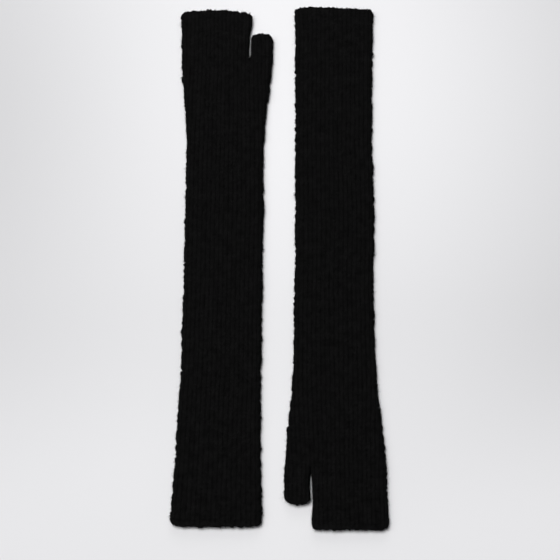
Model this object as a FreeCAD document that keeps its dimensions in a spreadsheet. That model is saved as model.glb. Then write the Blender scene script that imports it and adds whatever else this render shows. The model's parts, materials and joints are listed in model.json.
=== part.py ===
import FreeCAD
import Part
import Sketcher
import math
import os
from FreeCAD import Placement, Rotation, Vector

# A pair of long fingerless rib-knit gloves, lying flat, in millimetres, +Z up.
# Each glove is a flattened knitted tube from the elbow to the knuckles, with a
# short open thumb tube beside the hand. The two gloves are the same shape: the
# left one has its hand towards +Y, and the right one is turned half a turn.
# The origin is the middle of the pair, on the surface that it lies on.
#
# A glove's own frame has its origin at the middle of the elbow edge, +Y along
# the arm to the fingers and +X towards the thumb. "Inner" is the reach of the
# cloth from the arm's middle line towards -X, and "thumb" the reach towards +X.

doc = FreeCAD.newDocument("fingerless_gloves")

# ---------------------------------------------------------------- dimensions

SIZES = [
    # name, value, what it is
    ("glove_length", 565, "elbow edge to hand opening"),
    ("flat_height", 10, "outside height of a flattened tube"),
    ("knit_wall", 2.5, "thickness of one layer of ribbed cloth"),
    ("edge_wall", 3, "cloth left at a folded side edge, beyond the hollow"),
    ("glove_offset", 58, "middle line of each glove from the middle of the pair"),
    ("joint_gap", 0.3, "clearance between cloth that turns and cloth that stays"),
    ("welt_width", 5, "cast-off band at the elbow and at the hand opening"),
    ("thumb_welt_width", 4, "cast-off band at the thumb opening"),
    ("thumb_join_width", 3, "round of picked-up stitches at the thumb's base"),
    ("seam_width", 1.5, "how far the linked side seam stands into the hollow"),
    ("seam_height", 3, "height of the linked side seam"),
    ("wrist_place", 405, "elbow edge to the wrist fold"),
    ("crotch_place", 508, "elbow edge to the crotch of the thumb"),
    ("crotch_web", 3, "cloth between the hollow of the palm and the crotch"),
    ("thumb_middle", 40.4, "arm's middle line to the thumb's middle line"),
    ("thumb_half", 12.5, "half the flat width of the thumb tube"),
    ("thumb_top", 537, "elbow edge to the thumb opening"),
    # The flat outline: reach of the cloth each side of the arm's middle line.
    ("elbow_inner", 47, "at the elbow edge"),
    ("elbow_thumb", 41, "at the elbow edge"),
    ("cuff_place", 60, "elbow edge to the end of the elbow's flare"),
    ("cuff_inner", 44.5, "at the end of the elbow's flare"),
    ("cuff_thumb", 40.2, "at the end of the elbow's flare"),
    ("forearm_place", 165, "elbow edge to the slim stretch of the forearm"),
    ("forearm_inner", 41.5, "at the start of the slim stretch"),
    ("forearm_thumb", 40.6, "at the start of the slim stretch"),
    ("wrist_inner", 40.5, "at the wrist fold"),
    ("wrist_thumb", 42, "at the wrist fold"),
    ("heel_place", 445, "elbow edge to the heel of the hand"),
    ("heel_inner", 43.8, "at the heel of the hand"),
    ("heel_thumb", 46, "at the heel of the hand"),
    ("palm_place", 480, "elbow edge to the widening of the palm"),
    ("palm_inner", 47.3, "at the widening of the palm"),
    ("palm_thumb", 50.2, "at the widening of the palm"),
    ("crotch_inner", 48.8, "level with the crotch of the thumb"),
    ("crotch_thumb", 52.8, "level with the crotch of the thumb"),
    ("finger_thumb", 26.3, "side of the hand above the crotch"),
    ("opening_inner", 50.6, "at the hand opening"),
]

sheet = doc.addObject("Spreadsheet::Sheet", "Sizes")
for row, (alias, value, meaning) in enumerate(SIZES, start=1):
    sheet.set(f"A{row}", alias)
    sheet.set(f"B{row}", str(value))
    sheet.setAlias(f"B{row}", alias)
    sheet.set(f"C{row}", meaning)
doc.recompute()

# Stations along the glove: (place, inner reach, thumb reach) as expressions.
ELBOW = ("Sizes.welt_width", "Sizes.elbow_inner", "Sizes.elbow_thumb")
CUFF = ("Sizes.cuff_place", "Sizes.cuff_inner", "Sizes.cuff_thumb")
FOREARM = ("Sizes.forearm_place", "Sizes.forearm_inner", "Sizes.forearm_thumb")
WRIST = ("Sizes.wrist_place", "Sizes.wrist_inner", "Sizes.wrist_thumb")
WRIST_GAP = ("Sizes.wrist_place + Sizes.joint_gap", "Sizes.wrist_inner", "Sizes.wrist_thumb")
HEEL = ("Sizes.heel_place", "Sizes.heel_inner", "Sizes.heel_thumb")
PALM = ("Sizes.palm_place", "Sizes.palm_inner", "Sizes.palm_thumb")
CROTCH = ("Sizes.crotch_place", "Sizes.crotch_inner", "Sizes.crotch_thumb")
WEB = ("Sizes.crotch_place - Sizes.crotch_web", "Sizes.crotch_inner", "Sizes.crotch_thumb")
FINGERS = ("Sizes.crotch_place", "Sizes.crotch_inner", "Sizes.finger_thumb")
FINGER_HOLLOW = (WEB[0], "Sizes.crotch_inner", "Sizes.finger_thumb")
HAND_TOP = (
    "Sizes.glove_length - Sizes.welt_width",
    "Sizes.opening_inner",
    "Sizes.finger_thumb",
)
FOREARM_STATIONS = [ELBOW, CUFF, FOREARM, WRIST]
PALM_STATIONS = [WRIST_GAP, HEEL, PALM, CROTCH]


# ------------------------------------------------------------------ sketches


def section_plane(body, name, place):
    """A sketch across the glove, at that place along it, in the body's own frame."""
    sketch = body.newObject("Sketcher::SketchObject", name)
    planes = {feature.Role: feature for feature in body.Origin.OriginFeatures}
    sketch.AttachmentSupport = (planes["XZ_Plane"], [""])
    sketch.MapMode = "FlatFace"
    # The XZ plane faces -Y, so a place along +Y is a negative offset.
    sketch.setExpression("AttachmentOffset.Base.z", f"-({place})")
    return sketch


def bind(sketch, constraint, name, expression):
    """Adds a named constraint and binds it to the sheet."""
    index = sketch.addConstraint(constraint)
    sketch.renameConstraint(index, name)
    sketch.setExpression(f"Constraints.{name}", expression)


def draw_flat_oval(sketch, inner, thumb):
    """The outside of a flattened tube: flat above and below, with half-round side edges."""
    left, right, radius = 40.0, 40.0, 5.0
    up, normal = math.pi / 2, Vector(0, 0, 1)
    first = sketch.GeometryCount
    sketch.addGeometry([
        Part.LineSegment(Vector(-left, 0, 0), Vector(right, 0, 0)),
        Part.ArcOfCircle(Part.Circle(Vector(right, radius, 0), normal, radius), -up, up),
        Part.LineSegment(Vector(right, 2 * radius, 0), Vector(-left, 2 * radius, 0)),
        Part.ArcOfCircle(Part.Circle(Vector(-left, radius, 0), normal, radius), up, 3 * up),
    ], False)
    bottom, thumb_arc, top, inner_arc = range(first, first + 4)
    for one, other in (
        (bottom, thumb_arc),
        (thumb_arc, top),
        (top, inner_arc),
        (inner_arc, bottom),
    ):
        sketch.addConstraint(Sketcher.Constraint("Tangent", one, 2, other, 1))
    sketch.addConstraint(Sketcher.Constraint("Horizontal", bottom))
    sketch.addConstraint(Sketcher.Constraint("Horizontal", top))
    sketch.addConstraint(Sketcher.Constraint("PointOnObject", bottom, 1, -1))
    rounding = "Sizes.flat_height / 2"
    bind(sketch, Sketcher.Constraint("Radius", thumb_arc, radius), "rounding", rounding)
    bind(
        sketch,
        Sketcher.Constraint("DistanceX", inner_arc, 3, -1, 1, left),
        "inner_side",
        f"{inner} - {rounding}",
    )
    bind(
        sketch,
        Sketcher.Constraint("DistanceX", -1, 1, thumb_arc, 3, right),
        "thumb_side",
        f"{thumb} - {rounding}",
    )


def draw_rectangle(sketch, tag, left, right, bottom, top):
    """A rectangle between four distances from the sketch's origin: left is towards -X."""
    a, b, c, d = Vector(-20, 3, 0), Vector(20, 3, 0), Vector(20, 6, 0), Vector(-20, 6, 0)
    first = sketch.GeometryCount
    sketch.addGeometry([Part.LineSegment(*ends) for ends in ((a, b), (b, c), (c, d), (d, a))], False)
    low, high_x, high, low_x = range(first, first + 4)
    for one, other in ((low, high_x), (high_x, high), (high, low_x), (low_x, low)):
        sketch.addConstraint(Sketcher.Constraint("Coincident", one, 2, other, 1))
    for flat in (low, high):
        sketch.addConstraint(Sketcher.Constraint("Horizontal", flat))
    for upright in (high_x, low_x):
        sketch.addConstraint(Sketcher.Constraint("Vertical", upright))
    bind(sketch, Sketcher.Constraint("DistanceX", low, 1, -1, 1, 20), f"{tag}_left", left)
    bind(sketch, Sketcher.Constraint("DistanceX", -1, 1, low, 2, 20), f"{tag}_right", right)
    bind(sketch, Sketcher.Constraint("DistanceY", -1, 1, low, 1, 3), f"{tag}_bottom", bottom)
    bind(sketch, Sketcher.Constraint("DistanceY", -1, 1, high, 1, 6), f"{tag}_top", top)


def draw_hollow(sketch, inner, thumb):
    """The space inside a flattened tube, where the arm, hand or thumb goes."""
    draw_rectangle(
        sketch,
        "hollow",
        f"{inner} - Sizes.edge_wall",
        f"{thumb} - Sizes.edge_wall",
        "Sizes.knit_wall",
        "Sizes.flat_height - Sizes.knit_wall",
    )


# ---------------------------------------------------------------- sub-parts


def new_body(glove, name):
    """An empty sub-part of one glove, placed with it."""
    body = doc.addObject("PartDesign::Body", f"{glove}_{name}")
    body.Label = f"{glove}_{name}"
    facing = {"left": -1, "right": 1}[glove]
    half_turn = Rotation(Vector(0, 0, 1), 0 if glove == "left" else 180)
    body.Placement = Placement(Vector(0, 0, 0), half_turn)
    body.setExpression("Placement.Base.x", f"{facing} * Sizes.glove_offset")
    body.setExpression("Placement.Base.y", f"{facing} * Sizes.glove_length / 2")
    return body


def loft(body, kind, name, draw, stations):
    """A straight-sided loft through sections drawn at the stations."""
    sections = []
    for number, (place, inner, thumb) in enumerate(stations):
        sketch = section_plane(body, f"{name}_section_{number}", place)
        draw(sketch, inner, thumb)
        sections.append(sketch)
    feature = body.newObject(f"PartDesign::{kind}Loft", name)
    feature.Profile = sections[0]
    feature.Sections = sections[1:]
    feature.Ruled = True
    return feature


def forearm_tube(glove):
    """The long ribbed tube from the elbow band to the wrist fold."""
    body = new_body(glove, "forearm_tube")
    loft(body, "Additive", "cloth", draw_flat_oval, FOREARM_STATIONS)
    loft(body, "Subtractive", "hollow", draw_hollow, FOREARM_STATIONS)


def hand_tube(glove):
    """The palm and the hand above it, in one ribbed piece, with a mouth for the thumb tube."""
    body = new_body(glove, "hand_tube")
    loft(body, "Additive", "palm", draw_flat_oval, PALM_STATIONS)
    loft(body, "Additive", "fingers", draw_flat_oval, [FINGERS, HAND_TOP])
    loft(body, "Subtractive", "palm_hollow", draw_hollow, PALM_STATIONS[:-1] + [WEB])
    loft(body, "Subtractive", "finger_hollow", draw_hollow, [FINGER_HOLLOW, HAND_TOP])
    mouth = section_plane(body, "thumb_mouth_section", CROTCH[0])
    draw_rectangle(
        mouth,
        "mouth",
        "-(Sizes.thumb_middle - Sizes.thumb_half + Sizes.edge_wall)",
        "Sizes.thumb_middle + Sizes.thumb_half - Sizes.edge_wall",
        "Sizes.knit_wall",
        "Sizes.flat_height - Sizes.knit_wall",
    )
    doc.recompute()
    pocket = body.newObject("PartDesign::Pocket", "thumb_mouth")
    pocket.Profile = mouth
    pocket.Reversed = True
    pocket.setExpression("Length", "Sizes.crotch_web")


def band(glove, name, place, width, inner, thumb, across="0"):
    """A straight band of cloth round a tube, from that place towards the fingers."""
    body = new_body(glove, name)
    if across != "0":
        facing = {"left": 1, "right": -1}[glove]
        base = f"{-facing} * Sizes.glove_offset + {facing} * {across}"
        body.setExpression("Placement.Base.x", base)
    sketch = section_plane(body, "band_section", place)
    draw_flat_oval(sketch, inner, thumb)
    draw_hollow(sketch, inner, thumb)
    pad = body.newObject("PartDesign::Pad", "band")
    pad.Profile = sketch
    pad.Reversed = True
    pad.setExpression("Length", width)


def side_seam(glove, name, stations):
    """The linked side seam, a narrow ridge on the inner side wall of the hollow."""
    body = new_body(glove, name)

    def draw_seam(sketch, inner, thumb):
        middle = "Sizes.flat_height / 2"
        draw_rectangle(
            sketch,
            "seam",
            f"{inner} - Sizes.edge_wall",
            f"-({inner} - Sizes.edge_wall - Sizes.seam_width)",
            f"{middle} - Sizes.seam_height / 2",
            f"{middle} + Sizes.seam_height / 2",
        )

    loft(body, "Additive", "seam", draw_seam, stations)


def glove_parts(glove):
    """Every sub-part of one glove."""
    forearm_tube(glove)
    hand_tube(glove)
    side_seam(glove, "forearm_seam", FOREARM_STATIONS)
    side_seam(glove, "hand_seam", PALM_STATIONS + [HAND_TOP])
    band(glove, "elbow_welt", "0", "Sizes.welt_width", ELBOW[1], ELBOW[2])
    band(glove, "hand_welt", HAND_TOP[0], "Sizes.welt_width", HAND_TOP[1], HAND_TOP[2])

    half = "Sizes.thumb_half"
    base = "(Sizes.crotch_place + Sizes.joint_gap)"
    tube_start = f"{base} + Sizes.thumb_join_width"
    tube_end = "Sizes.thumb_top - Sizes.thumb_welt_width"
    across = "Sizes.thumb_middle"
    band(glove, "thumb_join", base, "Sizes.thumb_join_width", half, half, across)
    band(glove, "thumb_tube", tube_start, f"{tube_end} - ({tube_start})", half, half, across)
    band(glove, "thumb_welt", tube_end, "Sizes.thumb_welt_width", half, half, across)


for glove in ("left", "right"):
    glove_parts(glove)
doc.recompute()

# ------------------------------------------------------------ check and write

failed = [item.Label for item in doc.Objects if {"Invalid", "Error"} & set(item.State)]
if failed:
    raise SystemExit(f"objects that failed to build: {failed}")

bodies = [item for item in doc.Objects if item.TypeId == "PartDesign::Body"]
for body in bodies:
    if body.Shape.isNull() or not body.Shape.isValid() or len(body.Shape.Solids) != 1:
        raise SystemExit(f"{body.Label} isn't one valid solid")

os.makedirs("parts", exist_ok=True)
for body in bodies:
    body.Shape.exportStep(f"parts/{body.Label}.step")
    box = body.Shape.BoundBox
    print(
        f"{body.Label}: {body.Shape.Volume / 1000:.2f} cm3,",
        f"X {box.XMin:.2f}..{box.XMax:.2f}, Y {box.YMin:.2f}..{box.YMax:.2f},",
        f"Z {box.ZMin:.2f}..{box.ZMax:.2f}",
    )
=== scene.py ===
"""The looks of a pair of long fingerless rib-knit gloves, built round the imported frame.

Lengths are in millimetres until a mesh is made, which is in metres. A glove's own frame has its
origin at the middle of the elbow edge, +Y along the arm to the fingers and +X towards the thumb.
A "place" is a distance along the glove from the elbow edge.
"""

import json
import math

import bpy
import numpy as np
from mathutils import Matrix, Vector


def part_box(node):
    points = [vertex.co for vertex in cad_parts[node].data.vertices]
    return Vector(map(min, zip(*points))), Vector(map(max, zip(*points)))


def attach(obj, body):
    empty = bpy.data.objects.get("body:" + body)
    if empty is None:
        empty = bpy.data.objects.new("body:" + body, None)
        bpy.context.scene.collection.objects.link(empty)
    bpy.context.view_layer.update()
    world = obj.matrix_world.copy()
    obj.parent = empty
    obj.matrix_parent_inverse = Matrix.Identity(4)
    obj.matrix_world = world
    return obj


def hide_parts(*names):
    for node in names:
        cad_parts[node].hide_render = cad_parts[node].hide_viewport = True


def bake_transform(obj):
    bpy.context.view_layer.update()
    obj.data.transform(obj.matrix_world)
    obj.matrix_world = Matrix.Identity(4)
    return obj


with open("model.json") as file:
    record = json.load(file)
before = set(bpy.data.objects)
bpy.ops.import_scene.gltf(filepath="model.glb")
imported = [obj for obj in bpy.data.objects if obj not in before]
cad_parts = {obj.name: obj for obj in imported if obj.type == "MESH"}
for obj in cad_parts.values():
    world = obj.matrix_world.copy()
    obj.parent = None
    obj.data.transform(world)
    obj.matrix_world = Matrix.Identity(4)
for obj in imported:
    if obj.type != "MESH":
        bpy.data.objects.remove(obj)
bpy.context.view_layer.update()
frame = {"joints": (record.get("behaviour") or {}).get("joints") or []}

MM = 0.001
ROOT_SEED = 4107
HAIR_SEED = 930
LIP_SEED = 71

# ------------------------------------------------------------------ dimensions


def stretch(node):
    """The places where a node of the left glove starts and ends."""
    elbow_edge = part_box("left_elbow_welt")[0].y
    return [round((end.y - elbow_edge) / MM, 3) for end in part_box(node)]


_, WELT = stretch("left_elbow_welt")
HAND_END, GLOVE_LENGTH = stretch("left_hand_welt")
THUMB_END, THUMB_TIP = stretch("left_thumb_welt")

# The flat outline: (place, reach away from the thumb, reach towards it). It is smoothed over 36 mm
# and carried on for 40 mm beyond both ends.
OUTLINE = [
    (0, 47, 41),
    (60, 44.5, 40.2),
    (165, 41.5, 40.6),
    (405, 40.5, 42),
    (445, 43.8, 46),
    (480, 47.3, 50.2),
    (508, 48.8, 52.8),
    (565, 50.6, 52.8),
]
OUTLINE_SMOOTHING = 36
BEYOND = 40.0

# Places: where the thumb parts from the hand, where the round of stitches at its base ends, the
# piece of cloth at the wrist and the bend within it. The forearm's tube is in four equal pieces.
# The ends of a line across the bend, BEND_HEIGHT up, are worked out, but no piece bends along it.
CROTCH = 508.0
JOIN_END = 511.5
WRIST_START = 401.0
WRIST_END = 437.0
BEND_START = 404.0
BEND_END = 434.0
BEND_HEIGHT = 5
FOREARM_CUTS = [WELT + (WRIST_START - WELT) * i / 4 for i in range(5)]

# The line of the thumb's fold runs from the crotch this far towards the thumb and along it; it is worked
# out, but no piece swings about it.
THUMB_FOLD = (12.5, 17.8)

# How each glove lies. The cloth strays from the outline by (place, further out away from the
# thumb, further out towards it). The sides of the slot beside the thumb and the shifts along are
# (place, value). An open end is drawn back by its tilt, its bow and its corners: (tilt, bow, reach
# of the corner away from the thumb, reach of the corner towards it, depth of both corners).
LAY = {
    "left": {
        "stray": [(0, 2.7, 0.7), (40, 2.5, 0), (80, 1.2, -0.6), (150, 0.6, -0.8), (250, 0.3, 0),
                  (330, 0.8, 0), (380, 1.2, -0.6), (420, 0.6, -0.6), (450, 0.4, -1.2), (565, 0.3, -1.2)],
        "crotch_x": 25.6,
        "hand_side": [(508, 25.2), (519, 25.2), (533, 26.0), (552, 28.4), (565, 28.6)],
        "thumb_side": [(508, 26.5), (525, 26.8), (537, 26.8)],
        "arm_shift": [(0, 2.6), (60, 0.4), (400, 0), (508, -1.6)],
        "hand_shift": [(508, -1.6), (565, -2.0)],
        "thumb_shift": [(508, -1.6), (537, -3.0)],
        "arm_end": (0, 0.6, 16, 7, 5.5),
        "hand_end": (0.4, 4.6, 5, 8, 3),
        "thumb_end": (0, 2.4, 4.5, 6, 2.6),
    },
    "right": {
        "stray": [(0, -0.9, 0), (60, 0, 0), (105, 0.0, 0.5), (150, 0.3, 0.5), (250, 1.6, 0.2),
                  (300, -0.9, 0), (345, -0.9, 1.2), (400, 0.2, 1.6), (470, 0.1, 1.2), (508, 0.6, 0.5),
                  (565, 0.1, 0.5)],
        "crotch_x": 26.5,
        "hand_side": [(508, 26.2), (525, 25.5), (537, 25.0), (552, 26.0), (565, 26.2)],
        "thumb_side": [(508, 27.2), (515, 27.0), (525, 26.5), (543, 26.1)],
        "arm_shift": [(0, -1.0), (60, -0.3), (400, 0), (508, 2.5)],
        "hand_shift": [(508, 2.5), (565, 0.4)],
        "thumb_shift": [(508, 2.5), (537, 4.0)],
        "arm_end": (-1.9, 1.2, 4, 11, 4),
        "hand_end": (0, 0.4, 7, 5.5, 4.6),
        "thumb_end": (0, 2.6, 7, 6.5, 2.8),
    },
}

# The knit: one rib is a raised wale and the groove beside it; a course is one row of stitches.
FOREARM_RIBS = 19
HAND_RIB_WIDTH = 4.3
COURSE = 2.0
HAND_COLUMNS = 150
THUMB_COLUMNS = 50
FACE_COLUMNS = HAND_COLUMNS + THUMB_COLUMNS

# A wale has two slanting legs with a fine groove between them, and low purl bumps lie in the
# groove beside it. Widths are shares of a rib. A wale's height above WALE_LEVEL stands out. A
# closed cut gets the painted shade of a groove, as if its height were CUT_RELIEF.
RIB_DEPTH = 0.8
WALE_LEVEL = 0.65
WALE_ROUNDNESS = 2.4
WALE_HALF_WIDTH = 0.46
WALE_SIDE = 0.14
WALE_GROOVE = 0.16
WALE_GROOVE_WIDTH = 0.1
LEG_DEPTH = 0.6
LEG_SLANT = 2.6
LEG_ROUNDNESS = 0.8
PURL_DEPTH = 0.12
STITCH_VARIETY = 0.34
COURSE_VARIETY = 0.1
CUT_RELIEF = -0.5

# The relief is quieter in the edge bands and within CROTCH_CALM of the crotch. A fine line marks
# the end of a band, and a low ridge the round of stitches at the thumb's base.
EDGE_BAND_RELIEF = 0.65
CROTCH_CALM = 4
LINE_DEPTH = 0.15
LINE_WIDTH = 0.7
RIDGE_HEIGHT = 0.2
RIDGE_WIDTH = 1.0

# The two surfaces of the cloth: how far each lies inside the outline, its lowest and highest
# height, how much its top crowns, its share of the relief, how many ribs its stitches are turned
# by (the back of a rib is a groove), and the place of its crotch.
OUTER = {"inset": 0.5, "low": 0.75, "high": 8.5, "crown": 0.8, "relief": 1.0, "turn": 0.0,
         "crotch": CROTCH}
INNER = {"inset": 2.9, "low": 2.9, "high": 6.4, "crown": 0.6, "relief": 0.6, "turn": 0.5,
         "crotch": CROTCH - 2.5}
MIDDLE_HEIGHT = 4.6
FOLD_RADIUS = 4.6
LOWEST = 0.05

# Rows are FINE_STEP apart, but INNER_STEP deep inside, past MOUTH_DEPTH from an open end. A row
# less than CLOSEST_ROWS past another is left out, unless it is at a cut.
FINE_STEP = COURSE / 4
INNER_STEP = 4.0
CLOSEST_ROWS = 0.2
MOUTH_DEPTH = 14.0
SAME_PLACE = 0.001

# Samples across a row: round each fold, over the flat, and over the thumb's share of it.
FOLD_SAMPLES = 22
FLAT_SAMPLES = 60
THUMB_SAMPLES = 20

# The lip of an open end is a chain of two loops to a rib. It reaches out by LIP_REACH of LIP,
# further at its loops and at the ribs, and more or less by chance.
LIP = 1.2
LIP_ROWS = 11
LIP_REACH = 0.7
LIP_LOOPS = 0.35
LIP_RIBS = 0.3
LIP_VARIETY = 0.3
LOOP_SLANT = 0.4
LOOP_ROUNDNESS = 0.7
LOOP_HEIGHT = 0.3

# The seam inside is an upright ridge of slanting loops, SEAM_IN in from the folded edge. It
# tapers to SEAM_TIP of its size over SEAM_TAPER at both ends.
SEAM_SIDES = 12
SEAM_GAP = 0.5
SEAM_IN = 0.5
SEAM_HALF_WIDTH = 0.85
SEAM_HALF_HEIGHT = 1.35
SEAM_LEAST = 0.75
SEAM_LOOPS = 0.35
SEAM_SLANT = 0.25
SEAM_TAPER = 1.5
SEAM_TIP = 0.02

# Towards the crotch the cloth dips over DIP_REACH, and past it the slot opens over SLOT_REACH.
DIP_REACH = 13
SLOT_REACH = 5
SLOT_ROUNDNESS = 0.6

# At an open end the top sags by a share, and the end's own shape fades out over a distance.
MOUTH_SAG = 0.2
MOUTH_SAG_REACH = 10
END_FADE = {"arm": 10, "hand": 12, "thumb": 8}

# Random fields repeat after this many lattice points each way.
LATTICE = (64, 512)

# Hand-made unevenness: each field is (strength, size across, size along, start, seed number).
SLOW_EDGE = [(0.45, 1, 31, 0.5, 0)]
QUICK_EDGE = [(0.42, 1, 9, 0.5, 1), (0.4, 1, 3.6, 0.5, 2), (0.7, 1, COURSE, 0.5, 3),
              (0.8, 1, 1.3, 0.5, 4)]
SWELLS = [(0.16, 45, 60, 3, 31), (0.12, 15, 19, 9, 32), (0.12, 6, 8, 4, 33)]
RIB_DRIFT = [(0.1, 11, 23, 5, 41), (0.05, 3, 2.7, 1, 46)]
COURSE_DRIFT = [(0.22, 14, 9, 0, 42), (0.13, 2.3, 2.1, 0, 43)]
LUMPS = [(0.2, 2.4, 1.7, 7, 45)]
RAGGED_ENDS = [(0.25, 12, 40, 5, 51), (0.4, 2.9, 9, 0, 52), (1.3, 1.3, 6, 0, 53)]


# ---------------------------------------------------------------------- helpers


def smoothstep(value, low=0.0, high=1.0):
    """0 below low, 1 above high, smooth between."""
    share = np.clip((value - low) / (high - low), 0, 1)
    return share * share * (3 - 2 * share)


def wave(turns):
    """From 1 down to 0 and back to 1 in each whole turn."""
    return 0.5 + 0.5 * np.cos(2 * np.pi * turns)


def quarter_ellipse(distance, reach):
    """0 at no distance and 1 from reach on, steep at first."""
    share = np.clip(distance / reach, 0, 1)
    return np.sqrt(np.maximum(0, 1 - (1 - share) ** 2))


def noise(across, along, seed):
    """A smooth random field from -1 to 1, with one lattice point per unit each way."""
    lattice = np.random.default_rng(ROOT_SEED + seed).uniform(-1, 1, LATTICE)
    a, b = np.broadcast_arrays(np.asarray(across, float), np.asarray(along, float))
    a_low, b_low = np.floor(a).astype(int), np.floor(b).astype(int)
    a_share, b_share = smoothstep(a - a_low), smoothstep(b - b_low)

    def at(i, j):
        return lattice[(a_low + i) % LATTICE[0], (b_low + j) % LATTICE[1]]

    near = at(0, 0) * (1 - a_share) + at(1, 0) * a_share
    far = at(0, 1) * (1 - a_share) + at(1, 1) * a_share
    return near * (1 - b_share) + far * b_share


def unevenness(x, y, fields, seed):
    """The sum of random fields at these points."""
    return sum(
        strength * noise(x / across + start, y / along, seed + number)
        for strength, across, along, start, number in fields
    )


def along_table(table, places):
    """A listed table of (place, value) at these places."""
    stations = np.array(table, float)
    return np.interp(places, stations[:, 0], stations[:, 1])


def unit(vectors):
    """The vectors at length 1."""
    return vectors / np.maximum(np.linalg.norm(vectors, axis=-1, keepdims=True), 1e-9)


class Glove:
    """Where a glove lies, and its own outline."""

    def __init__(self, name, seed):
        self.name = name
        self.seed = seed
        self.lay = LAY[name]
        wrist = next(j for j in frame["joints"] if j["name"] == f"{name}_wrist_bend")
        self.facing = 1 if wrist["axis"][0] > 0 else -1
        self.middle = wrist["pos_m"][0]
        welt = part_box(f"{name}_elbow_welt")
        self.elbow = welt[0].y if self.facing > 0 else welt[1].y
        self.crotch_x = self.lay["crotch_x"]
        self.places = np.arange(-BEYOND, GLOVE_LENGTH + BEYOND + 1)
        self.inner_line, self.inner_edge = self._edge(column=1, side=-1, seed=11)
        self.thumb_line, self.thumb_edge = self._edge(column=2, side=1, seed=23)

    def _edge(self, column, side, seed):
        """One side of the outline along self.places: its smooth line and its uneven edge."""
        stations = np.array(OUTLINE, float)
        stray = np.array(self.lay["stray"], float)
        edge = np.interp(self.places, stations[:, 0], stations[:, column])
        edge += np.interp(self.places, stray[:, 0], stray[:, column])
        window = np.hanning(OUTLINE_SMOOTHING + 1)
        padded = np.pad(edge, OUTLINE_SMOOTHING // 2, mode="edge")
        edge = np.convolve(padded, window / window.sum(), mode="valid")
        line = edge + unevenness(0, self.places, SLOW_EDGE, self.seed + seed)
        edge = line + unevenness(0, self.places, QUICK_EDGE, self.seed + seed)
        return side * line, side * edge

    def to_row(self, points):
        """Points of the glove's own frame, in metres in the row frame."""
        moved = np.array(points, float) * MM
        moved[..., :2] *= self.facing
        moved[..., 0] += self.middle
        moved[..., 1] += self.elbow
        return moved

    def point(self, x, y, z):
        return tuple(float(v) for v in self.to_row(np.array([x, y, z])))


# ---------------------------------------------------------------- the cloth


def fold_profile(distance):
    """Share of the full height at that distance in from a folded edge."""
    return quarter_ellipse(distance, FOLD_RADIUS)


def fold_excess(distance):
    """How much longer the cloth round a fold is than its width on the flat, from there inwards."""
    angle = np.arccos(np.clip(1 - distance / FOLD_RADIUS, 0, 1))
    return FOLD_RADIUS * (math.pi / 2 - angle - np.cos(angle))


def across_samples(low, high, crotch_x):
    """Places across a strip, close together at the folds and beside the crotch's line."""
    quarter = FOLD_RADIUS * (1 - np.cos(np.linspace(0, math.pi / 2, FOLD_SAMPLES)))

    def flat(start, end, samples):
        return np.linspace(start + FOLD_RADIUS, end - FOLD_RADIUS, samples)[1:-1]

    if crotch_x is None:
        middle = [flat(low, high, FLAT_SAMPLES)]
    else:
        dip = [crotch_x - quarter[::-1], crotch_x + quarter[1:]]
        hand, thumb = flat(low, crotch_x, FLAT_SAMPLES), flat(crotch_x, high, THUMB_SAMPLES)
        middle = [hand, *dip, thumb]
    return np.concatenate([low + quarter, *middle, high - quarter[::-1]])


def strip_row(low, high, columns, dip, split_x):
    """One row of a face's columns, evenly spaced along the cloth.

    Returns the columns' places across and their share of the full height. dip is how far the
    cloth dips to the crotch's line, 0 to 1."""
    x = across_samples(low, high, split_x if dip > 0 else None)
    rise = fold_profile(np.minimum(x - low, high - x))
    if dip > 0:
        rise = rise * (1 - dip + dip * fold_profile(np.abs(x - split_x)))
    half_height = (OUTER["high"] - OUTER["low"]) / 2
    steps = np.hypot(np.diff(x), np.diff(rise) * half_height)
    along = np.concatenate([[0], np.cumsum(steps)])
    total = along[-1]
    if columns == FACE_COLUMNS:
        split = HAND_COLUMNS / FACE_COLUMNS * total
        if dip > 0:
            exact = np.interp(split_x, x, along)
            split = split + (exact - split) * dip
        targets = np.concatenate([
            np.linspace(0, split, HAND_COLUMNS + 1),
            np.linspace(split, total, THUMB_COLUMNS + 1)[1:],
        ])
    else:
        targets = np.linspace(0, total, columns + 1)
    return np.interp(targets, along, x), np.interp(targets, along, rise)


def ring(top, bottom):
    """Columns of both faces as one closed ring: the upper face, then the lower one backwards."""
    return np.concatenate([top, bottom[:, -2:0:-1]], axis=1)


def stitch_relief(rib, course):
    """Height of the knit above its mean: wales of V-shaped stitches with purl grooves between."""
    across = rib - np.floor(rib) - 0.5
    wale = 1 - np.abs(2 * across) ** WALE_ROUNDNESS
    legs = wave(course - LEG_SLANT * np.abs(across)) ** LEG_ROUNDNESS
    on_wale = smoothstep(WALE_HALF_WIDTH - np.abs(across), 0, WALE_SIDE)
    groove = np.exp(-((across / WALE_GROOVE_WIDTH) ** 2))
    purl = wave(course) * (1 - on_wale)
    height = RIB_DEPTH * (wale - WALE_LEVEL) + LEG_DEPTH * (legs - 0.5) * on_wale
    return height - WALE_GROOVE * groove + PURL_DEPTH * purl


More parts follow.
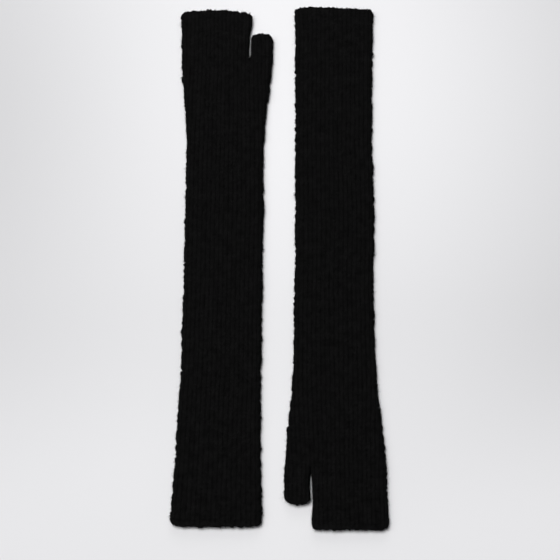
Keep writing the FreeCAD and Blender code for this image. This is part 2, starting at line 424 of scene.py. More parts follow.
class Strip:
    """A closed ring of cloth along a stretch of the glove: rows of columns, with stitch numbers."""

    def __init__(self, glove, layer, part, places, low, high, columns, dips=None):
        self.places = places
        self.part = part
        dips = np.zeros(len(places)) if dips is None else dips
        rows = [
            strip_row(a, b, columns, dip, glove.crotch_x) for a, b, dip in zip(low, high, dips)
        ]
        x = np.array([r[0] for r in rows])
        rise = np.array([r[1] for r in rows])
        y = np.repeat(places[:, None], x.shape[1], axis=1)
        low, high = low[:, None], high[:, None]
        off_middle = np.clip((2 * x - low - high) / (high - low), -1, 1)
        swell = unevenness(x, y, SWELLS, glove.seed)
        top = layer["high"] + layer["crown"] * (1 - off_middle ** 2) + swell - MIDDLE_HEIGHT
        top *= 1 - MOUTH_SAG * np.exp(-self._from_end(y) / MOUTH_SAG_REACH)
        base = ring(
            np.stack([x, y, MIDDLE_HEIGHT + top * rise], axis=-1),
            np.stack([x, y, MIDDLE_HEIGHT - (MIDDLE_HEIGHT - layer["low"]) * rise], axis=-1),
        )
        rib = self._rib_numbers(glove, x, places, low, high) + layer["turn"]
        self.rib = ring(rib, rib)
        self.edge = ring(*[np.minimum(x - low, high - x)] * 2)
        self.course = base[..., 1] / COURSE
        self.relief = self._relief(glove, layer, base)
        self.points = base + self._normals(base) * (self.relief * layer["relief"])[..., None]
        self.points[..., 1] += self._end_shape(glove, base, low, high)
        self.points[..., 1] += along_table(glove.lay[f"{part}_shift"], base[..., 1])
        self.points[..., 2] = np.maximum(self.points[..., 2], LOWEST)

    def _from_end(self, y):
        """Distance from the nearest open end."""
        if self.part == "thumb":
            return THUMB_TIP - y
        return np.minimum(y, GLOVE_LENGTH - y)

    def _rib_numbers(self, glove, x, places, low, high):
        """Which rib each place is on: upright ribs, counted from the arm's middle line.

        Below the wrist the ribs follow the outline, so that there are always as many."""
        start, end = glove.inner_line + OUTER["inset"], glove.thumb_line - OUTER["inset"]
        start, end = np.interp(places, glove.places, start), np.interp(places, glove.places, end)
        excess = (math.pi / 2 - 1) * FOLD_RADIUS
        wrist = np.searchsorted(glove.places, WRIST_START)
        wrist_width = glove.thumb_line[wrist] - glove.inner_line[wrist] - 2 * OUTER["inset"]
        wrist_pitch = (wrist_width + 2 * excess) / FOREARM_RIBS
        wrist_first = (-glove.inner_line[wrist] - OUTER["inset"] + excess) / wrist_pitch
        forearm_pitch = (end - start + 2 * excess) / FOREARM_RIBS
        share = smoothstep(places, WRIST_START, CROTCH)
        hand_pitch = wrist_pitch + (HAND_RIB_WIDTH - wrist_pitch) * share
        below = places < WRIST_START
        pitch = np.where(below, forearm_pitch, hand_pitch)[:, None]
        first = np.where(below, (-start + excess) / forearm_pitch, wrist_first)[:, None]
        flat = x.copy()
        if self.part != "thumb":
            flat -= fold_excess(x - low)
        if self.part != "hand":
            flat += fold_excess(high - x)
        return 0.5 + first + flat / pitch

    @staticmethod
    def _normals(base):
        """Unit vectors out of the ring, at each of its points."""
        across = np.roll(base, -1, axis=1) - np.roll(base, 1, axis=1)
        return unit(np.cross(across, np.gradient(base, axis=0)))

    def _relief(self, glove, layer, base):
        """Height of the stitches, with a hand-made unevenness, at each point of the ring."""
        x, y = base[..., 0], base[..., 1]
        seed = glove.seed
        rib = self.rib + unevenness(x, y, RIB_DRIFT, seed)
        course = self.course + unevenness(x, y, COURSE_DRIFT, seed)
        height = stitch_relief(rib, course)
        height = height * (1 + STITCH_VARIETY * noise(rib * 2, course, seed + 44))
        height += unevenness(x, y, LUMPS, seed)
        height += COURSE_VARIETY * noise(x / 9 + 2, course, seed + 47)
        end = self._from_end(y)
        past_band = smoothstep(end, WELT / 2, WELT + 1.5)
        height = height * (EDGE_BAND_RELIEF + (1 - EDGE_BAND_RELIEF) * past_band)
        height -= LINE_DEPTH * np.exp(-(((end - WELT) / LINE_WIDTH) ** 2))
        if self.part == "thumb":
            height += RIDGE_HEIGHT * np.exp(-(((y - (CROTCH + JOIN_END) / 2) / RIDGE_WIDTH) ** 2))
        point = np.array([glove.crotch_x, layer["crotch"], MIDDLE_HEIGHT])
        return height * smoothstep(np.linalg.norm(base - point, axis=-1), 0, CROTCH_CALM)

    def _end_shape(self, glove, base, low, high):
        """How far each point moves along the glove because its open end isn't cut straight."""
        x, y = base[..., 0], base[..., 1]
        off_middle = np.clip((2 * x - low - high) / (high - low), -1, 1)
        off_end = self._from_end(y)
        tilt, bow, inner_reach, thumb_reach, depth = glove.lay[f"{self.part}_end"]
        inner_corner = 1 - quarter_ellipse(x - low, inner_reach)
        thumb_corner = 1 - quarter_ellipse(high - x, thumb_reach)
        drawn = tilt * off_middle + bow * off_middle ** 2 + depth * (inner_corner + thumb_corner)
        drawn += unevenness(x, off_end, RAGGED_ENDS, glove.seed)
        if self.part == "arm":
            return drawn * np.exp(-y / END_FADE["arm"])
        return -drawn * np.exp(-off_end / END_FADE[self.part])


def stitched_places(cuts, step, mouth):
    """Places through all the cuts, about a step apart, and a fine step apart at the mouth."""
    parts = []
    for start, end in zip(cuts, cuts[1:]):
        parts.append(np.linspace(start, end, max(2, round((end - start) / step) + 1)))
    if step > FINE_STEP:
        parts.append(np.arange(*mouth, FINE_STEP))
    places = np.unique(np.round(np.concatenate(parts), 4))
    keep = np.concatenate([[True], np.diff(places) > CLOSEST_ROWS])
    return places[keep | np.isin(places, np.round(cuts, 4))]


class Layer:
    """The outer or the inner surface of a whole glove, as an arm, a hand and a thumb strip."""

    def __init__(self, glove, layer, step):
        crotch, inset = layer["crotch"], layer["inset"]
        arm_cuts = [LIP] + FOREARM_CUTS + [WRIST_END, crotch]
        hand_cuts = sorted({crotch, CROTCH, HAND_END, GLOVE_LENGTH - LIP})
        thumb_cuts = sorted({crotch, CROTCH, JOIN_END, THUMB_END, THUMB_TIP - LIP})
        arm = stitched_places(arm_cuts, step, (LIP, MOUTH_DEPTH))
        hand = stitched_places(hand_cuts, step, (GLOVE_LENGTH - MOUTH_DEPTH, GLOVE_LENGTH - LIP))
        thumb = stitched_places(thumb_cuts, step, (THUMB_TIP - MOUTH_DEPTH, THUMB_TIP - LIP))

        low, high = self._edges(glove, arm, inset)
        dips = smoothstep(arm, crotch - DIP_REACH, crotch) ** 3
        self.arm = Strip(glove, layer, "arm", arm, low, high, FACE_COLUMNS, dips)
        low, _ = self._edges(glove, hand, inset)
        high = self._slot_side(glove, "hand_side", hand, crotch, -inset)
        self.hand = Strip(glove, layer, "hand", hand, low, high, HAND_COLUMNS)
        _, high = self._edges(glove, thumb, inset)
        low = self._slot_side(glove, "thumb_side", thumb, crotch, inset)
        self.thumb = Strip(glove, layer, "thumb", thumb, low, high, THUMB_COLUMNS)
        self._join()

    @staticmethod
    def _slot_side(glove, table, places, crotch, inset):
        """One side of the slot beside the thumb, which opens from a point at the crotch."""
        side = along_table(glove.lay[table], places) + inset
        opened = smoothstep(places, crotch, crotch + SLOT_REACH) ** SLOT_ROUNDNESS
        return glove.crotch_x + (side - glove.crotch_x) * opened

    @staticmethod
    def _edges(glove, places, inset):
        """The two folded edges at these places."""
        low = np.interp(places, glove.places, glove.inner_edge) + inset
        high = np.interp(places, glove.places, glove.thumb_edge) - inset
        return low, high

    def _join(self):
        """The arm's last row is the hand's and the thumb's first rows, so that nothing gapes."""
        hand, thumb, last = self.hand.points[0], self.thumb.points[0], self.arm.points[-1]
        point = (hand[HAND_COLUMNS] + thumb[0]) / 2
        hand[HAND_COLUMNS] = thumb[0] = point
        last[: HAND_COLUMNS + 1] = hand[: HAND_COLUMNS + 1]
        last[HAND_COLUMNS : FACE_COLUMNS + 1] = thumb[: THUMB_COLUMNS + 1]
        last[FACE_COLUMNS + 1 : FACE_COLUMNS + THUMB_COLUMNS] = thumb[THUMB_COLUMNS + 1 :]
        last[FACE_COLUMNS + THUMB_COLUMNS] = point
        last[FACE_COLUMNS + THUMB_COLUMNS + 1 :] = hand[HAND_COLUMNS + 1 :]

    def seam_path(self):
        """The folded edge away from the thumb, from the elbow to the fingers."""
        return np.concatenate([self.arm.points[:-1, 0], self.hand.points[:, 0]])


class Grid:
    """Rows of points with what their texture needs, ready to be made into faces."""

    def __init__(self, points, rib, course, relief, inward=False, edge=None):
        self.points, self.rib, self.course, self.relief = points, rib, course, relief
        self.inward, self.edge = inward, edge

    @classmethod
    def part(cls, strip, start, end, inward=False):
        """The rows of a strip from start to end."""
        r = (strip.places >= start - SAME_PLACE) & (strip.places <= end + SAME_PLACE)
        points, rib, course, relief = strip.points[r], strip.rib[r], strip.course[r], strip.relief[r]
        return cls(points, rib, course, relief, inward, strip.edge[r])


def cap(outer, inner, row, inward):
    """A band that closes the cloth's thickness between the two surfaces at a row."""
    points = np.stack([outer.points[row], inner.points[row]])
    rib = np.stack([outer.rib[row]] * 2)
    course = np.stack([outer.course[row]] * 2)
    # The cut's colour is painted shade, as dark as a groove's.
    return Grid(points, rib, course, np.full(rib.shape, CUT_RELIEF), inward)


def lip(outer, inner, row, direction):
    """The rounded cast-off edge from the outer surface over to the inner one: a chain of loops."""
    angles = np.linspace(0, math.pi, LIP_ROWS)[:, None]
    share = (1 - np.cos(angles)) / 2
    over, under = outer.points[row], inner.points[row]
    rib = np.repeat(outer.rib[row][None], LIP_ROWS, axis=0)
    loops = wave(2 * rib + LOOP_SLANT * np.cos(angles)) ** LOOP_ROUNDNESS
    chance = noise(rib * 1.3, np.zeros_like(rib) + 0.5, LIP_SEED + int(outer.course[row][0]))
    points = over * (1 - share[..., None]) + under * share[..., None]
    reach = LIP * (LIP_REACH + LIP_LOOPS * loops + LIP_RIBS * wave(rib) + LIP_VARIETY * chance)
    points[..., 1] += direction * np.sin(angles) * reach
    outward = unit(over - under)
    points += outward * (LOOP_HEIGHT * (loops - 0.5) * np.sin(angles))[..., None]
    points[..., 2] = np.maximum(points[..., 2], LOWEST)
    course = np.repeat(outer.course[row][None], LIP_ROWS, axis=0)
    # Painted shade: the lip's colour is darker where its loops dip.
    return Grid(points, rib, course, loops - 0.4, inward=direction < 0)


def seam_grid(path, start, end):
    """A linked seam: a ridge of small slanting loops along the folded edge, inside the hollow."""
    y = np.arange(start, end, FINE_STEP)
    line = np.stack([np.interp(y, path[:, 1], path[:, k]) for k in range(3)], axis=-1)
    angles = np.linspace(0, 2 * math.pi, SEAM_SIDES + 1)[:-1]
    loops = wave(y[:, None] / COURSE + SEAM_SLANT * np.sin(angles))
    taper = np.minimum(1, np.minimum(y - y[0], y[-1] - y) / SEAM_TAPER)[:, None] ** 0.5
    size = (SEAM_LEAST + SEAM_LOOPS * loops) * np.maximum(taper, SEAM_TIP)
    points = np.repeat(line[:, None], SEAM_SIDES, axis=1)
    points[..., 0] += SEAM_IN + SEAM_HALF_WIDTH * np.cos(angles) * size
    points[..., 2] += SEAM_HALF_HEIGHT * np.sin(angles) * size
    rib = np.repeat(2 * np.arange(SEAM_SIDES)[None] / SEAM_SIDES, len(y), axis=0)
    course = np.repeat(y[:, None] / COURSE, SEAM_SIDES, axis=1)
    # Painted shade: the seam's colour is darker between its loops.
    return Grid(points, rib, course, loops - 0.5, inward=True)


# ------------------------------------------------------------- making meshes


def grid_corners(rows, columns):
    """(row, column) of each face's four corners on a closed grid, the column not yet wrapped."""
    r, c = np.meshgrid(np.arange(rows - 1), np.arange(columns), indexing="ij")
    corner_rows = np.stack([r, r, r + 1, r + 1], axis=-1).reshape(-1, 4)
    corner_columns = np.stack([c, c + 1, c + 1, c], axis=-1).reshape(-1, 4)
    return corner_rows, corner_columns


# Each grid of a piece has its own band of the bake map, as high as its rows and a few more.
BAKE_EXTRA_ROWS = 4
BAKE_MARGIN = 0.004


def make_piece(glove, name, grids, material):
    """One mesh object from grids that share no vertices, with its texture maps."""
    points, faces, knit_maps, bake_maps, reliefs = [], [], [], [], []
    start = 0
    heights = np.array([g.points.shape[0] + BAKE_EXTRA_ROWS for g in grids], float)
    tops = np.concatenate([[0], np.cumsum(heights) / heights.sum()])
    for number, grid in enumerate(grids):
        rows, columns = grid.points.shape[:2]
        r, c = grid_corners(rows, columns)
        if grid.inward:
            r, c = r[:, ::-1], c[:, ::-1]
        wrapped = c % columns
        faces.append(start + r * columns + wrapped)
        knit_maps.append(np.stack([grid.rib[r, wrapped], grid.course[r, wrapped]], axis=-1))
        low, high = tops[number] + BAKE_MARGIN, tops[number + 1] - BAKE_MARGIN
        across = BAKE_MARGIN + (1 - 2 * BAKE_MARGIN) * c / columns
        bake = [across, low + (high - low) * r / (rows - 1)]
        bake_maps.append(np.stack(bake, axis=-1))
        points.append(grid.points.reshape(-1, 3))
        reliefs.append(grid.relief.reshape(-1))
        start += rows * columns
    maps = {"OFBake": np.concatenate(bake_maps), "knit": np.concatenate(knit_maps)}
    vertices = glove.to_row(np.concatenate(points))
    relief = np.concatenate(reliefs)
    return build_mesh(f"{glove.name}_{name}", vertices, np.concatenate(faces), maps, relief, material)


def build_mesh(name, vertices, faces, maps, relief, material):
    """A smooth-shaded mesh object whose faces all have as many sides."""
    sides = faces.shape[1]
    mesh = bpy.data.meshes.new(name)
    mesh.vertices.add(len(vertices))
    mesh.vertices.foreach_set("co", vertices.astype(np.float32).ravel())
    mesh.loops.add(faces.size)
    mesh.loops.foreach_set("vertex_index", faces.astype(np.int32).ravel())
    mesh.polygons.add(len(faces))
    mesh.polygons.foreach_set("loop_start", np.arange(0, faces.size, sides, dtype=np.int32))
    mesh.update(calc_edges=True)
    mesh.shade_smooth()
    for layer, values in maps.items():
        uv = mesh.uv_layers.new(name=layer)
        uv.data.foreach_set("uv", values.astype(np.float32).ravel())
    if relief is not None:
        attribute = mesh.attributes.new("relief", "FLOAT", "POINT")
        attribute.data.foreach_set("value", relief.astype(np.float32))
    mesh.materials.append(material)
    piece = bpy.data.objects.new(name, mesh)
    bpy.context.scene.collection.objects.link(piece)
    return piece


# ---------------------------------------------------------------------- hairs

# Hairs to a square millimetre on the folds, on top and underneath. They thin out inwards over
# FOLD_WIDTH. The roots within EDGE_WIDTH of a fold are on the edge.
FOLD_HAIRS = 1.4
TOP_HAIRS = 0.5
UNDER_HAIRS = 0.1
FOLD_WIDTH = (3.5, 6)
EDGE_WIDTH = 1.5

# A few hairs are long strays. At the edges some stand in tufts of about TUFT_HAIRS. The logarithm
# of a plain hair's length has a mean and a spread, and the length stays within two limits.
STRAY_SHARE = 0.012
TUFT_SHARE = 0.06
TUFT_HAIRS = 26
TUFT_SPREAD = 0.4
TUFT_LEAN_SPREAD = 0.3
HAIR_LENGTH_LOG = (0.75, 0.42)
HAIR_LENGTH = (0.8, 5.0)
TUFT_LENGTH = (1.6, 3.6)
STRAY_LENGTH = (4.5, 8.0)
HAIR_RADIUS = (0.04, 0.068)
THICK_RADIUS = (0.055, 0.085)

# A hair is a three-sided tube of HAIR_RINGS rings and a tip, rooted ROOT_DEPTH inside the cloth.
# It leans by an angle in degrees, at least FLAT_LEAN on the flat and FOLD_LEAN on a fold. From
# ring to ring it turns by a random CURL and a DROOP towards the cloth.
HAIR_RINGS = 3
HAIR_TAPER = 0.28
ROOT_DEPTH = 0.25
LOWEST_HAIR = 0.04
FLAT_LEAN = 50
FOLD_LEAN = 15
MOST_LEAN = 84
CURL = 0.4
DROOP = 0.15


def hair_roots(grid, rng):
    """Random places on a surface with their outward normals, thickest on the folded edges.

    Also returns whether each place is on a folded or an open edge."""
    p = grid.points
    right, down = np.roll(p, -1, axis=1)[:-1], p[1:]
    here = p[:-1]
    across, along = right - here, down - here
    cross = np.cross(across, along) * (-1 if grid.inward else 1)
    area = np.linalg.norm(cross, axis=-1)
    columns = p.shape[1]
    under = np.arange(columns) > columns // 2
    density = np.where(under, UNDER_HAIRS, TOP_HAIRS) + np.zeros(area.shape)
    inwards = np.zeros(area.shape) if grid.edge is None else grid.edge[:-1]
    density = density + (FOLD_HAIRS - density) * (1 - smoothstep(inwards, *FOLD_WIDTH))
    weight = (area * density).ravel()
    count = int(weight.sum())
    chosen = rng.choice(weight.size, count, p=weight / weight.sum())
    r, c = np.unravel_index(chosen, area.shape)
    a, b = rng.random((2, count, 1))
    roots = here[r, c] + across[r, c] * a + along[r, c] * b
    return roots, unit(cross[r, c]), inwards[r, c] < EDGE_WIDTH


def grow_hairs(grids, rng):
    """Every hair on the grids, as an array (hair, point, 3): HAIR_RINGS rings of three and a tip."""
    parts = [hair_roots(grid, rng) for grid in grids]
    roots, normals, edges = (np.concatenate(values) for values in zip(*parts))
    count = len(roots)

    def choose(condition, one, other):
        return np.where(condition[:, None], one, other)

    tufted = rng.random(count) < TUFT_SHARE * edges.mean()
    middles = rng.choice(np.flatnonzero(edges), max(1, int(tufted.sum() / TUFT_HAIRS)))
    middle = rng.choice(middles, count)
    roots = choose(tufted, roots[middle] + rng.normal(0, TUFT_SPREAD, (count, 3)), roots)
    leaning = unit(normals[middle] + rng.normal(0, TUFT_LEAN_SPREAD, (count, 3)))
    normals = choose(tufted, leaning, normals)

    stray = rng.random(count) < STRAY_SHARE
    length = np.clip(rng.lognormal(*HAIR_LENGTH_LOG, count), *HAIR_LENGTH)
    length = np.where(tufted, rng.uniform(*TUFT_LENGTH, count), length)
    length = np.where(stray, rng.uniform(*STRAY_LENGTH, count), length)
    thick = rng.uniform(*THICK_RADIUS, count)
    radius = np.where(stray | tufted, thick, rng.uniform(*HAIR_RADIUS, count))

    least_lean = np.where(np.abs(normals[:, 2]) > 0.6, FLAT_LEAN, FOLD_LEAN)
    lean = np.radians(rng.uniform(least_lean, MOST_LEAN))[:, None]
    sideways = unit(np.cross(normals, rng.normal(size=(count, 3))))
    heading = normals * np.cos(lean) + sideways * np.sin(lean)
    lock = unit(heading[middle] + rng.normal(0, TUFT_LEAN_SPREAD, (count, 3)))
    heading = choose(tufted, lock, heading)
    curl = rng.normal(size=(count, 3)) * CURL - normals * DROOP

    step = (length / HAIR_RINGS)[:, None]
    place = roots - normals * ROOT_DEPTH
    angles = np.arange(3) * 2 * math.pi / 3
    rings = []
    for k in range(HAIR_RINGS):
        side = unit(np.cross(heading, [0.31, 0.52, 0.79]))
        other = np.cross(heading, side)
        width = (radius * (1 - HAIR_TAPER * k))[:, None, None]
        spread = side[:, None] * np.cos(angles)[:, None] + other[:, None] * np.sin(angles)[:, None]
        rings.append(place[:, None] + spread * width)
        place = place + heading * step
        heading = unit(heading + curl)
    rings.append(place[:, None])
    points = np.concatenate(rings, axis=1)
    points[..., 2] = np.maximum(points[..., 2], LOWEST_HAIR)
    return points


def hair_triangles():
    """The faces of one hair: its rings joined, and the last one closed at the tip."""
    triangles = []
    for k in range(HAIR_RINGS):
        for i in range(3):
            a, b = 3 * k + i, 3 * k + (i + 1) % 3
            if k < HAIR_RINGS - 1:
                triangles += [(a, b, b + 3), (a, b + 3, a + 3)]
            else:
                triangles.append((a, b, 3 * HAIR_RINGS))
    return np.array(triangles)


def make_hairs(glove, name, grids, number):
    """One mesh object of the short curved hairs that stand off these grids."""
    rng = np.random.default_rng(ROOT_SEED + glove.seed + HAIR_SEED + number)
    points = grow_hairs(grids, rng)
    count, corners = points.shape[:2]
    triangles = hair_triangles()
    faces = (np.arange(count)[:, None, None] * corners + triangles).reshape(-1, 3)
    # On the bake map each hair has a square cell of its own.
    cells = math.ceil(math.sqrt(count))
    cell = np.arange(count)
    origin = np.stack([cell % cells, cell // cells], axis=-1)[:, None, None]
    within = np.stack([triangles % 3 * 0.3, triangles // 3 * 0.24], axis=-1) + 0.14
    uv = ((origin + within[None]) / cells).reshape(-1, 2)
    vertices = glove.to_row(points.reshape(-1, 3))
    return build_mesh(f"{glove.name}_{name}_fibres", vertices, faces, {"OFBake": uv}, None, HAIR)


# ------------------------------------------------------------------ materials


class Nodes:
    """A small helper that adds and links shader nodes."""

    def __init__(self, name):
        self.material = bpy.data.materials.new(name)
        self.material.use_nodes = True
        self.tree = self.material.node_tree
        self.shader = self.tree.nodes["Principled BSDF"]

    def add(self, kind, inputs=(), **settings):
        """A node with its inputs set to values or linked to sockets."""
        node = self.tree.nodes.new(f"ShaderNode{kind}")
        for key, value in settings.items():
            setattr(node, key, value)
        for key, value in dict(inputs).items():
            self.feed(node.inputs[key], value)
        return node

    def feed(self, socket, value):
        """Links a socket to another's output, or sets its value."""
        if isinstance(value, bpy.types.NodeSocket):
            self.tree.links.new(value, socket)
        else:
            socket.default_value = value

    def set(self, **values):
        """Inputs of the main shader, by their names with underscores for spaces."""
        for key, value in values.items():
            self.feed(self.shader.inputs[key.replace("_", " ")], value)

    def ramp(self, value, dark, light, low=0.0, high=1.0):
        """The colour between dark and light as a value goes from low to high."""
        node = self.add("ValToRGB", {"Fac": value})
        for element, place, colour in zip(node.color_ramp.elements, (low, high), (dark, light)):
            element.position = place
            element.color = (*colour, 1)
        return node.outputs["Color"]

    def math(self, operation, one, other):
        """One value of two."""
        return self.add("Math", {0: one, 1: other}, operation=operation).outputs[0]


def wool(name, dark, light):
    """Matte brushed wool, mottled by its plies and fibres, with painted shade: darker in the grooves and
    low places of its relief.
    """
    n = Nodes(name)
    relief = n.add("Attribute", attribute_name="relief").outputs["Fac"]
    knit = n.add("UVMap", uv_map="knit").outputs["UV"]
    place = n.add("TexCoord").outputs["Object"]
    # Painted shade: the colour darkens as the relief gets lower, so grooves and dips are darker.
    height = n.add("MapRange", {"Value": relief, "From Min": -0.75, "From Max": 0.55}).outputs[0]
    stretch = n.add("Mapping", {"Vector": knit, "Scale": (7.0, 2.6, 1.0)}).outputs[0]
    plies = n.add("TexNoise", {"Vector": stretch, "Scale": 1.0, "Detail": 4.0, "Roughness": 0.65})
    plies = plies.outputs["Fac"]
    mottle = n.add("TexNoise", {"Vector": place, "Scale": 420.0, "Detail": 4.0, "Roughness": 0.75})
    mottle = mottle.outputs["Fac"]
    specks = n.add("TexNoise", {"Vector": place, "Scale": 900.0, "Detail": 2.0}).outputs["Fac"]
    patches = n.add("TexNoise", {"Vector": place, "Scale": 120.0, "Detail": 3.0}).outputs["Fac"]
    mixed = n.math("MULTIPLY", mottle, plies)
    spread = n.add("MapRange", {"Value": mixed, "From Min": 0.14, "From Max": 0.39}).outputs[0]
    bright = n.add("MapRange", {"Value": specks, "From Min": 0.55, "From Max": 0.75}).outputs[0]
    groove_shade_and_mottle = n.math("ADD", n.math("ADD", height, spread), bright)
    patches = n.add("MapRange", {"Value": patches, "To Min": 0.12, "To Max": 0.9}).outputs[0]
    patchy = n.math("MULTIPLY", groove_shade_and_mottle, patches)
    bump_height = n.math("ADD", plies, mottle)
    bump = n.add("Bump", {"Height": bump_height, "Strength": 0.55, "Distance": 0.0005})
    n.set(Base_Color=n.ramp(patchy, dark, light, 0.05, 1.0), Normal=bump.outputs["Normal"])
    n.set(Roughness=0.95, Specular_IOR_Level=0.02)
    n.set(Sheen_Weight=0.004, Sheen_Roughness=0.4, Sheen_Tint=(0.9, 0.92, 0.95, 1))
    return n.material


KNIT = wool("rib_knit_wool", (0.0009, 0.0009, 0.0009), (0.0066, 0.0065, 0.0066))
EDGE = wool("cast_off_wool", (0.001, 0.001, 0.001), (0.007, 0.0069, 0.007))
SEAM = wool("linked_seam_wool", (0.0009, 0.0009, 0.0009), (0.006, 0.0059, 0.006))


def hair_material():
    """Single hairs that stand off the wool."""
    n = Nodes("stray_wool_fibre")
    place = n.add("TexCoord").outputs["Object"]
    tone = n.add("TexNoise", {"Vector": place, "Scale": 420.0, "Detail": 2.0}).outputs["Fac"]
    n.set(Base_Color=n.ramp(tone, (0.0015, 0.0015, 0.0015), (0.011, 0.0108, 0.011), 0.3, 0.75))
    n.set(Roughness=0.85, Specular_IOR_Level=0.05)
    return n.material


HAIR = hair_material()


# --------------------------------------------------------------- glove pieces


def shell(outer_strip, inner_strip, start, end):
    """Both surfaces of a stretch of cloth with its two cut ends closed."""
    outer = Grid.part(outer_strip, start, end)
    inner = Grid.part(inner_strip, start, end, inward=True)
    return [outer, inner, cap(outer, inner, 0, True), cap(outer, inner, -1, False)]


def band(outer_strip, inner_strip, start, end, direction):
    """An edge band: both surfaces, the lip at the open end and a closed cut at the other."""
    outer = Grid.part(outer_strip, start, end)
    inner = Grid.part(inner_strip, start, end, inward=True)
    open_row, cut_row = (0, -1) if direction < 0 else (-1, 0)
    edge = lip(outer, inner, open_row, direction)
    return [outer, inner, edge, cap(outer, inner, cut_row, direction > 0)]


def palm(outer, inner):
    """The palm: one tube below the crotch, whose hollow parts in two just below its outer crotch."""
    arm = Grid.part(outer.arm, WRIST_END, CROTCH)
    hollow = Grid.part(inner.arm, WRIST_END, INNER["crotch"], inward=True)
    grids = [arm, hollow, cap(arm, hollow, 0, True)]
    for outer_strip, inner_strip in ((outer.hand, inner.hand), (outer.thumb, inner.thumb)):
        mouth = Grid.part(inner_strip, INNER["crotch"], CROTCH, inward=True)
        edge = Grid.part(outer_strip, CROTCH, CROTCH)
        grids += [mouth, cap(edge, mouth, -1, False)]
    return grids


# Each function below lists its pieces as (name, grids, material, CAD node).


def forearm_pieces(outer, inner):
    """The forearm's tube in four pieces, the elbow's band and the seam inside."""
    pieces = [
        (f"forearm_knit_{i}", shell(outer.arm, inner.arm, *ends), KNIT, "forearm_tube")
        for i, ends in enumerate(zip(FOREARM_CUTS, FOREARM_CUTS[1:]), start=1)
    ]
    elbow = band(outer.arm, inner.arm, LIP, WELT, -1)
    seam = [seam_grid(inner.seam_path(), WELT + SEAM_GAP, WRIST_START)]
    pieces.append(("elbow_edge_band", elbow, EDGE, "elbow_welt"))
    pieces.append(("forearm_seam_chain", seam, SEAM, "forearm_seam"))
    return pieces


def wrist_pieces(outer, inner):
    """The stretch of cloth at the wrist."""
    knit = shell(outer.arm, inner.arm, WRIST_START, WRIST_END)
    seam = [seam_grid(inner.seam_path(), WRIST_START, WRIST_END + SEAM_GAP)]
    return [
        ("wrist_knit", knit, KNIT, "hand_tube"),
        ("wrist_seam_chain", seam, SEAM, "hand_seam"),
    ]


def hand_pieces(outer, inner):
    """The hand above the crotch, its band and its seam."""
    knit = shell(outer.hand, inner.hand, CROTCH, HAND_END)
    edge = band(outer.hand, inner.hand, HAND_END, GLOVE_LENGTH - LIP, 1)
    seam = [seam_grid(inner.seam_path(), WRIST_END, HAND_END - SEAM_GAP)]
    return [
        ("hand_knit", knit, KNIT, "hand_tube"),
        ("hand_edge_band", edge, EDGE, "hand_welt"),
        ("hand_seam_chain", seam, SEAM, "hand_seam"),
    ]


def thumb_pieces(outer, inner):
    """The palm, which reaches over the thumb's fold, and the thumb's own pieces."""
    join = shell(outer.thumb, inner.thumb, CROTCH, JOIN_END)
    knit = shell(outer.thumb, inner.thumb, JOIN_END, THUMB_END)
    edge = band(outer.thumb, inner.thumb, THUMB_END, THUMB_TIP - LIP, 1)
    return [
        ("palm_knit", palm(outer, inner), KNIT, "hand_tube"),
        ("thumb_join_round", join, SEAM, "thumb_join"),
        ("thumb_knit", knit, KNIT, "thumb_tube"),
        ("thumb_edge_band", edge, EDGE, "thumb_welt"),
    ]


def place_pieces(glove, outer, inner):
    """Makes every knitted piece of a glove. The forearm's and the hand's pieces are fixed to their
    bodies; the wrist's and the thumb's are left in place, unattached.
    """
    name = glove.name
    forearm, hand, thumb = f"{name}_forearm", f"{name}_hand", f"{name}_thumb"
    wrist_fold = (glove.point(0, BEND_START, BEND_HEIGHT), glove.point(0, BEND_END, BEND_HEIGHT))
    x, y = glove.crotch_x, CROTCH + along_table(glove.lay["thumb_shift"], CROTCH)
    across, along = THUMB_FOLD
    thumb_end = glove.point(x + across, y + along, BEND_HEIGHT)
    thumb_fold = (glove.point(x, y, BEND_HEIGHT), thumb_end)
    number = 0
    for group, body, fold in (
        (forearm_pieces(outer, inner), forearm, None),
        (wrist_pieces(outer, inner), None, (forearm, hand, *wrist_fold)),
        (hand_pieces(outer, inner), hand, None),
        (thumb_pieces(outer, inner), None, (hand, thumb, *thumb_fold)),
    ):
        for piece_name, grids, material, node in group:
            pieces = [make_piece(glove, piece_name, grids, material)]
            if not node.endswith("_seam"):
                number += 1
                hairy = [grids[0], grids[2]] if material is EDGE else [grids[0]]
                pieces.append(make_hairs(glove, piece_name, hairy, number))
            for piece in pieces:
                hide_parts(f"{name}_{node}")
                if body:
                    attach(piece, body)
                else:
                    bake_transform(piece)


for seed, name in ((0, "left"), (500, "right")):
    glove = Glove(name, seed)
    outer = Layer(glove, OUTER, FINE_STEP)
    inner = Layer(glove, INNER, INNER_STEP)
    place_pieces(glove, outer, inner)


# ------------------------------------------------------ floor, light, camera


def painted_light_pool(n, place, radii, amount):
    """A soft round patch of painted light on a surface, strongest in its middle; with a negative amount
    it is painted shade.
    """
    object_place = n.add("TexCoord").outputs["Object"]
    ends = {"Vector": object_place, "Location": (*place, 0), "Scale": (*radii, 1)}
    from_middle = n.add("Mapping", ends, vector_type="TEXTURE").outputs[0]
    nearness = n.add("TexGradient", {"Vector": from_middle}, gradient_type="SPHERICAL").outputs["Fac"]
    soft = n.add("MapRange", {"Value": nearness, "To Max": amount}, interpolation_type="SMOOTHSTEP")
    return soft.outputs[0]


# The floor's tone, from 0 to 1, and its pools of painted light: (place, radii, how much lighter).
# Those with a negative value are painted shade, darker.
FLOOR_RADIUS = 2.4
FLOOR_TONE = 0.672
PAINTED_LIGHT_POOLS = [
    ((-0.06, 0.19), (0.5, 0.5), 0.42),
    ((0.001, -0.08), (0.055, 0.35), 0.03),
    ((0.47, -0.3), (1.6, 0.27), 0.19),
    ((-0.2, 0.18), (0.56, 0.44), -0.3),
]


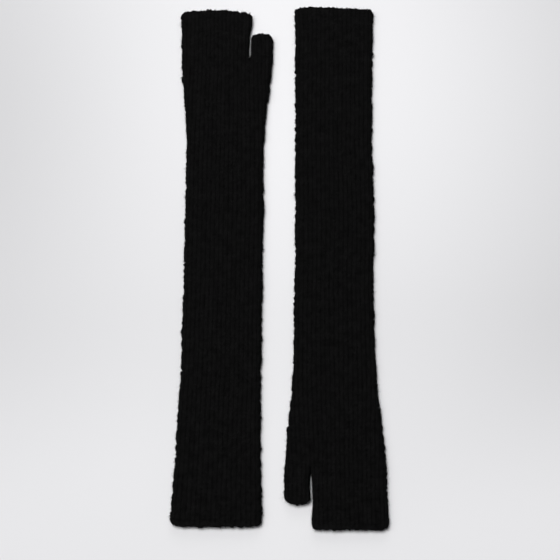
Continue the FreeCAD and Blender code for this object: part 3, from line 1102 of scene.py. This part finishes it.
def floor():
    """A plain pale round surface under the gloves, with pools of painted light and painted shade in its
    colour.
    """
    n = Nodes("pale_surface")
    tone = FLOOR_TONE
    # The pools add painted light to the floor's colour, and painted shade where they are negative.
    for place, radii, amount in PAINTED_LIGHT_POOLS:
        tone = n.math("ADD", painted_light_pool(n, place, radii, amount), tone)
    n.set(Base_Color=n.ramp(tone, (0, 0, 0), (0.985, 0.983, 1)), Roughness=0.75)
    n.set(Specular_IOR_Level=0.2)
    bpy.ops.mesh.primitive_circle_add(vertices=256, radius=FLOOR_RADIUS, fill_type="NGON")
    surface = bpy.context.object
    surface.name = "pale_surface"
    surface.data.materials.append(n.material)


# Square soft lights that look at the middle of the pair: (name, place, size, power).
LIGHTS = [
    ("overhead_softbox", (-0.62, 0.48, 2.9), 1.35, 76),
    ("far_softbox", (0, 2.5, 1.7), 1.2, 14),
    ("left_softbox", (-1.92, 0, 2.3), 1.2, 14),
]


def area_light(name, place, size, power):
    """One of the square soft lights."""
    lamp = bpy.data.lights.new(name, "AREA")
    lamp.shape, lamp.size, lamp.energy = "SQUARE", size, power
    source = bpy.data.objects.new(name, lamp)
    bpy.context.scene.collection.objects.link(source)
    source.location = place
    source.rotation_euler = (-Vector(place)).to_track_quat("-Z", "Y").to_euler()


CAMERA_TARGET = Vector((0.0009, -0.0285, 0.004))
CAMERA_DISTANCE = 1.2
CAMERA_LEAN = math.radians(15.3)
FRAME_WIDTH = 0.5824
SENSOR_WIDTH = 36


def camera():
    """A camera above the pair that leans a little back from straight down."""
    lens = bpy.data.cameras.new("camera")
    lens.sensor_width = SENSOR_WIDTH
    lens.lens = SENSOR_WIDTH * CAMERA_DISTANCE / FRAME_WIDTH
    view = bpy.data.objects.new("camera", lens)
    bpy.context.scene.collection.objects.link(view)
    back = Vector((0, -math.sin(CAMERA_LEAN), math.cos(CAMERA_LEAN)))
    view.location = CAMERA_TARGET + back * CAMERA_DISTANCE
    view.rotation_euler = (-back).to_track_quat("-Z", "Y").to_euler()
    bpy.context.scene.camera = view


def surroundings():
    """Pale walls all round, low down, and a little even light from above."""
    world = bpy.data.worlds.new("studio")
    world.use_nodes = True
    nodes, links = world.node_tree.nodes, world.node_tree.links
    background = nodes["Background"]
    background.inputs["Color"].default_value = (0.95, 0.96, 1, 1)
    direction = nodes.new("ShaderNodeTexCoord").outputs["Generated"]
    split = nodes.new("ShaderNodeSeparateXYZ")
    links.new(direction, split.inputs[0])
    strength = nodes.new("ShaderNodeMapRange")
    links.new(split.outputs["Z"], strength.inputs["Value"])
    for key, value in (("From Min", 0.05), ("From Max", 0.4), ("To Min", 0.5), ("To Max", 0.07)):
        strength.inputs[key].default_value = value
    links.new(strength.outputs[0], background.inputs["Strength"])
    bpy.context.scene.world = world
    bpy.context.scene.view_settings.view_transform = "Standard"


floor()
surroundings()
for light in LIGHTS:
    area_light(*light)
camera()
